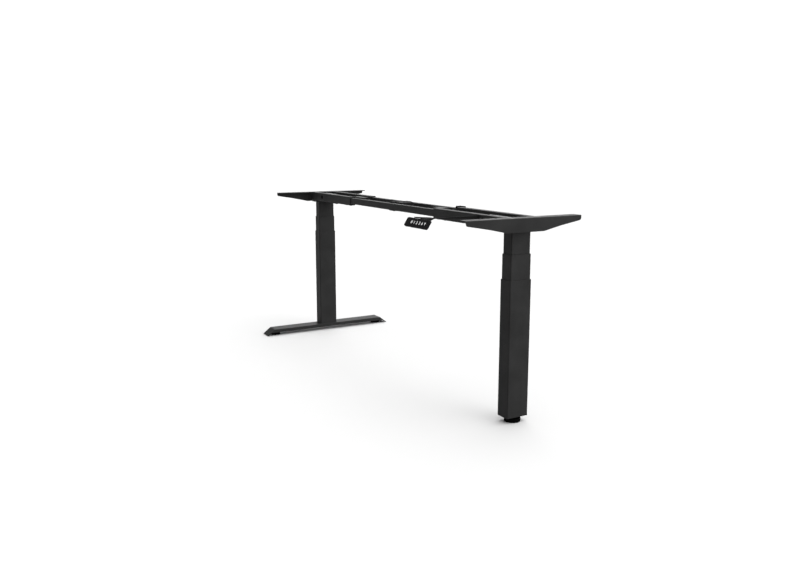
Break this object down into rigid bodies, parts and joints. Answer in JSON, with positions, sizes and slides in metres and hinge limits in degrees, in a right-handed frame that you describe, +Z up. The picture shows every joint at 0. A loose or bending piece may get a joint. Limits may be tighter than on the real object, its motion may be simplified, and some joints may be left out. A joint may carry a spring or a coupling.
{
  "type": "height adjustable desk frame",
  "caption": "Electric sit-stand desk frame: telescopic lifting columns joined by a telescopic crossbeam, with side brackets for a desk top, a push-button handset and levelling glides.",
  "frame": {"origin": "on the floor, midway between the two legs", "axes": "+X along the desk towards the leg with a single glide, +Y towards the desk's back, +Z up"},
  "size_m": [1.605, 0.638, 0.676],
  "materials": {
    "powder_coat": "matt textured powder coat",
    "black_screws": "black oxide",
    "bright_steel": "turned",
    "brass_nut": "turned",
    "gearbox_alloy": "die cast",
    "motor_enamel": "satin enamel",
    "guide_nylon": "moulded",
    "glide_rubber": "moulded",
    "handset_plastic": "fine spark texture",
    "key_plastic": "satin with white glyph",
    "box_plastic": "fine spark texture"
  },
  "bodies": {
    "left_base": {"left_lower_tube": "powder_coat", "left_lower_guide": "guide_nylon", "left_base_plate": "bright_steel", "left_nut_tube": "bright_steel", "left_foot": "powder_coat", "foot_screws": "black_screws"},
    "foot_glide_front": {"foot_glide_front": "glide_rubber"},
    "foot_glide_rear": {"foot_glide_rear": "glide_rubber"},
    "left_middle": {"left_middle_tube": "powder_coat", "left_middle_guide": "guide_nylon", "left_screw_carrier": "bright_steel"},
    "left_hollow_screw": {"left_hollow_screw": "bright_steel", "left_upper_nut": "brass_nut"},
    "left_head": {"left_upper_tube": "powder_coat", "left_head_plate": "powder_coat", "left_gearbox": "gearbox_alloy", "left_motor": "motor_enamel", "left_front_sleeve": "powder_coat", "left_rear_sleeve": "powder_coat", "left_sleeve_liners": "guide_nylon", "left_tie_plate": "powder_coat", "left_side_bracket": "powder_coat", "left_bracket_screws": "black_screws", "left_clamp_screws": "black_screws", "front_rail": "powder_coat", "rear_rail": "powder_coat", "control_box": "box_plastic", "box_hanger": "powder_coat"},
    "left_drive_screw": {"left_drive_screw": "bright_steel"},
    "right_head": {"right_upper_tube": "powder_coat", "right_head_plate": "powder_coat", "right_gearbox": "gearbox_alloy", "right_motor": "motor_enamel", "right_front_sleeve": "powder_coat", "right_rear_sleeve": "powder_coat", "right_sleeve_liners": "guide_nylon", "right_tie_plate": "powder_coat", "right_side_bracket": "powder_coat", "right_bracket_screws": "black_screws", "right_clamp_screws": "black_screws", "handset_case": "handset_plastic", "handset_arm": "handset_plastic", "power_inlet": "box_plastic"},
    "right_drive_screw": {"right_drive_screw": "bright_steel"},
    "right_middle": {"right_middle_tube": "powder_coat", "right_middle_guide": "guide_nylon", "right_screw_carrier": "bright_steel"},
    "right_hollow_screw": {"right_hollow_screw": "bright_steel", "right_upper_nut": "brass_nut"},
    "right_base": {"right_lower_tube": "powder_coat", "right_lower_guide": "guide_nylon", "right_base_plate": "bright_steel", "right_nut_tube": "bright_steel"},
    "leg_glide": {"leg_glide": "glide_rubber"},
    "button_memory": {"button_memory": "key_plastic"},
    "button_one": {"button_one": "key_plastic"},
    "button_two": {"button_two": "key_plastic"},
    "button_three": {"button_three": "key_plastic"},
    "button_up": {"button_up": "key_plastic"},
    "button_down": {"button_down": "key_plastic"}
  },
  "joints": [
    {"name": "lift", "type": "slide", "parent": "left_base", "child": "left_middle", "axis": [0, 0, 1], "range_m": [-0.056, 0.244]},
    {"name": "left_upper_slide", "type": "slide", "parent": "left_middle", "child": "left_head", "axis": [0, 0, 1], "range_m": [-0.056, 0.244]},
    {"name": "width_slide", "type": "slide", "parent": "left_head", "child": "right_head", "axis": [1, 0, 0], "range_m": [-0.2, 0.12]},
    {"name": "right_upper_slide", "type": "slide", "parent": "right_head", "child": "right_middle", "axis": [0, 0, -1], "range_m": [-0.056, 0.244]},
    {"name": "right_lower_slide", "type": "slide", "parent": "right_middle", "child": "right_base", "axis": [0, 0, -1], "range_m": [-0.056, 0.244]},
    {"name": "left_hollow_spin", "type": "hinge", "parent": "left_middle", "child": "left_hollow_screw", "pos_m": [-0.7575, 0, 0.3], "axis": [0, 0, 1], "range_deg": [-1261, 5491]},
    {"name": "left_drive_spin", "type": "hinge", "parent": "left_head", "child": "left_drive_screw", "pos_m": [-0.7575, 0, 0.6], "axis": [0, 0, 1], "range_deg": [-2521, 10981]},
    {"name": "right_hollow_spin", "type": "hinge", "parent": "right_middle", "child": "right_hollow_screw", "pos_m": [0.7575, 0, 0.3], "axis": [0, 0, 1], "range_deg": [-1261, 5491]},
    {"name": "right_drive_spin", "type": "hinge", "parent": "right_head", "child": "right_drive_screw", "pos_m": [0.7575, 0, 0.6], "axis": [0, 0, 1], "range_deg": [-2521, 10981]},
    {"name": "foot_glide_front_screw", "type": "slide", "parent": "left_base", "child": "foot_glide_front", "axis": [0, 0, -1], "range_m": [0, 0.01]},
    {"name": "foot_glide_rear_screw", "type": "slide", "parent": "left_base", "child": "foot_glide_rear", "axis": [0, 0, -1], "range_m": [0, 0.01]},
    {"name": "leg_glide_screw", "type": "slide", "parent": "right_base", "child": "leg_glide", "axis": [0, 0, -1], "range_m": [0, 0.01]},
    {"name": "press_memory", "type": "slide", "parent": "right_head", "child": "button_memory", "axis": [0, 0.8434, -0.5373], "range_m": [0, 0.001], "stiffness_N_per_m": 1500},
    {"name": "press_one", "type": "slide", "parent": "right_head", "child": "button_one", "axis": [0, 0.8434, -0.5373], "range_m": [0, 0.001], "stiffness_N_per_m": 1500},
    {"name": "press_two", "type": "slide", "parent": "right_head", "child": "button_two", "axis": [0, 0.8434, -0.5373], "range_m": [0, 0.001], "stiffness_N_per_m": 1500},
    {"name": "press_three", "type": "slide", "parent": "right_head", "child": "button_three", "axis": [0, 0.8434, -0.5373], "range_m": [0, 0.001], "stiffness_N_per_m": 1500},
    {"name": "press_up", "type": "slide", "parent": "right_head", "child": "button_up", "axis": [0, 0.8434, -0.5373], "range_m": [0, 0.001], "stiffness_N_per_m": 1500},
    {"name": "press_down", "type": "slide", "parent": "right_head", "child": "button_down", "axis": [0, 0.8434, -0.5373], "range_m": [0, 0.001], "stiffness_N_per_m": 1500}
  ],
  "couplings": [
    {"joint": "left_upper_slide", "follows": "lift", "ratio": 1},
    {"joint": "right_upper_slide", "follows": "lift", "ratio": 1},
    {"joint": "right_lower_slide", "follows": "lift", "ratio": 1},
    {"joint": "left_hollow_spin", "follows": "lift", "rad_per_m": 392.7},
    {"joint": "right_hollow_spin", "follows": "lift", "rad_per_m": 392.7},
    {"joint": "left_drive_spin", "follows": "lift", "rad_per_m": 785.4},
    {"joint": "right_drive_spin", "follows": "lift", "rad_per_m": 785.4}
  ]
}
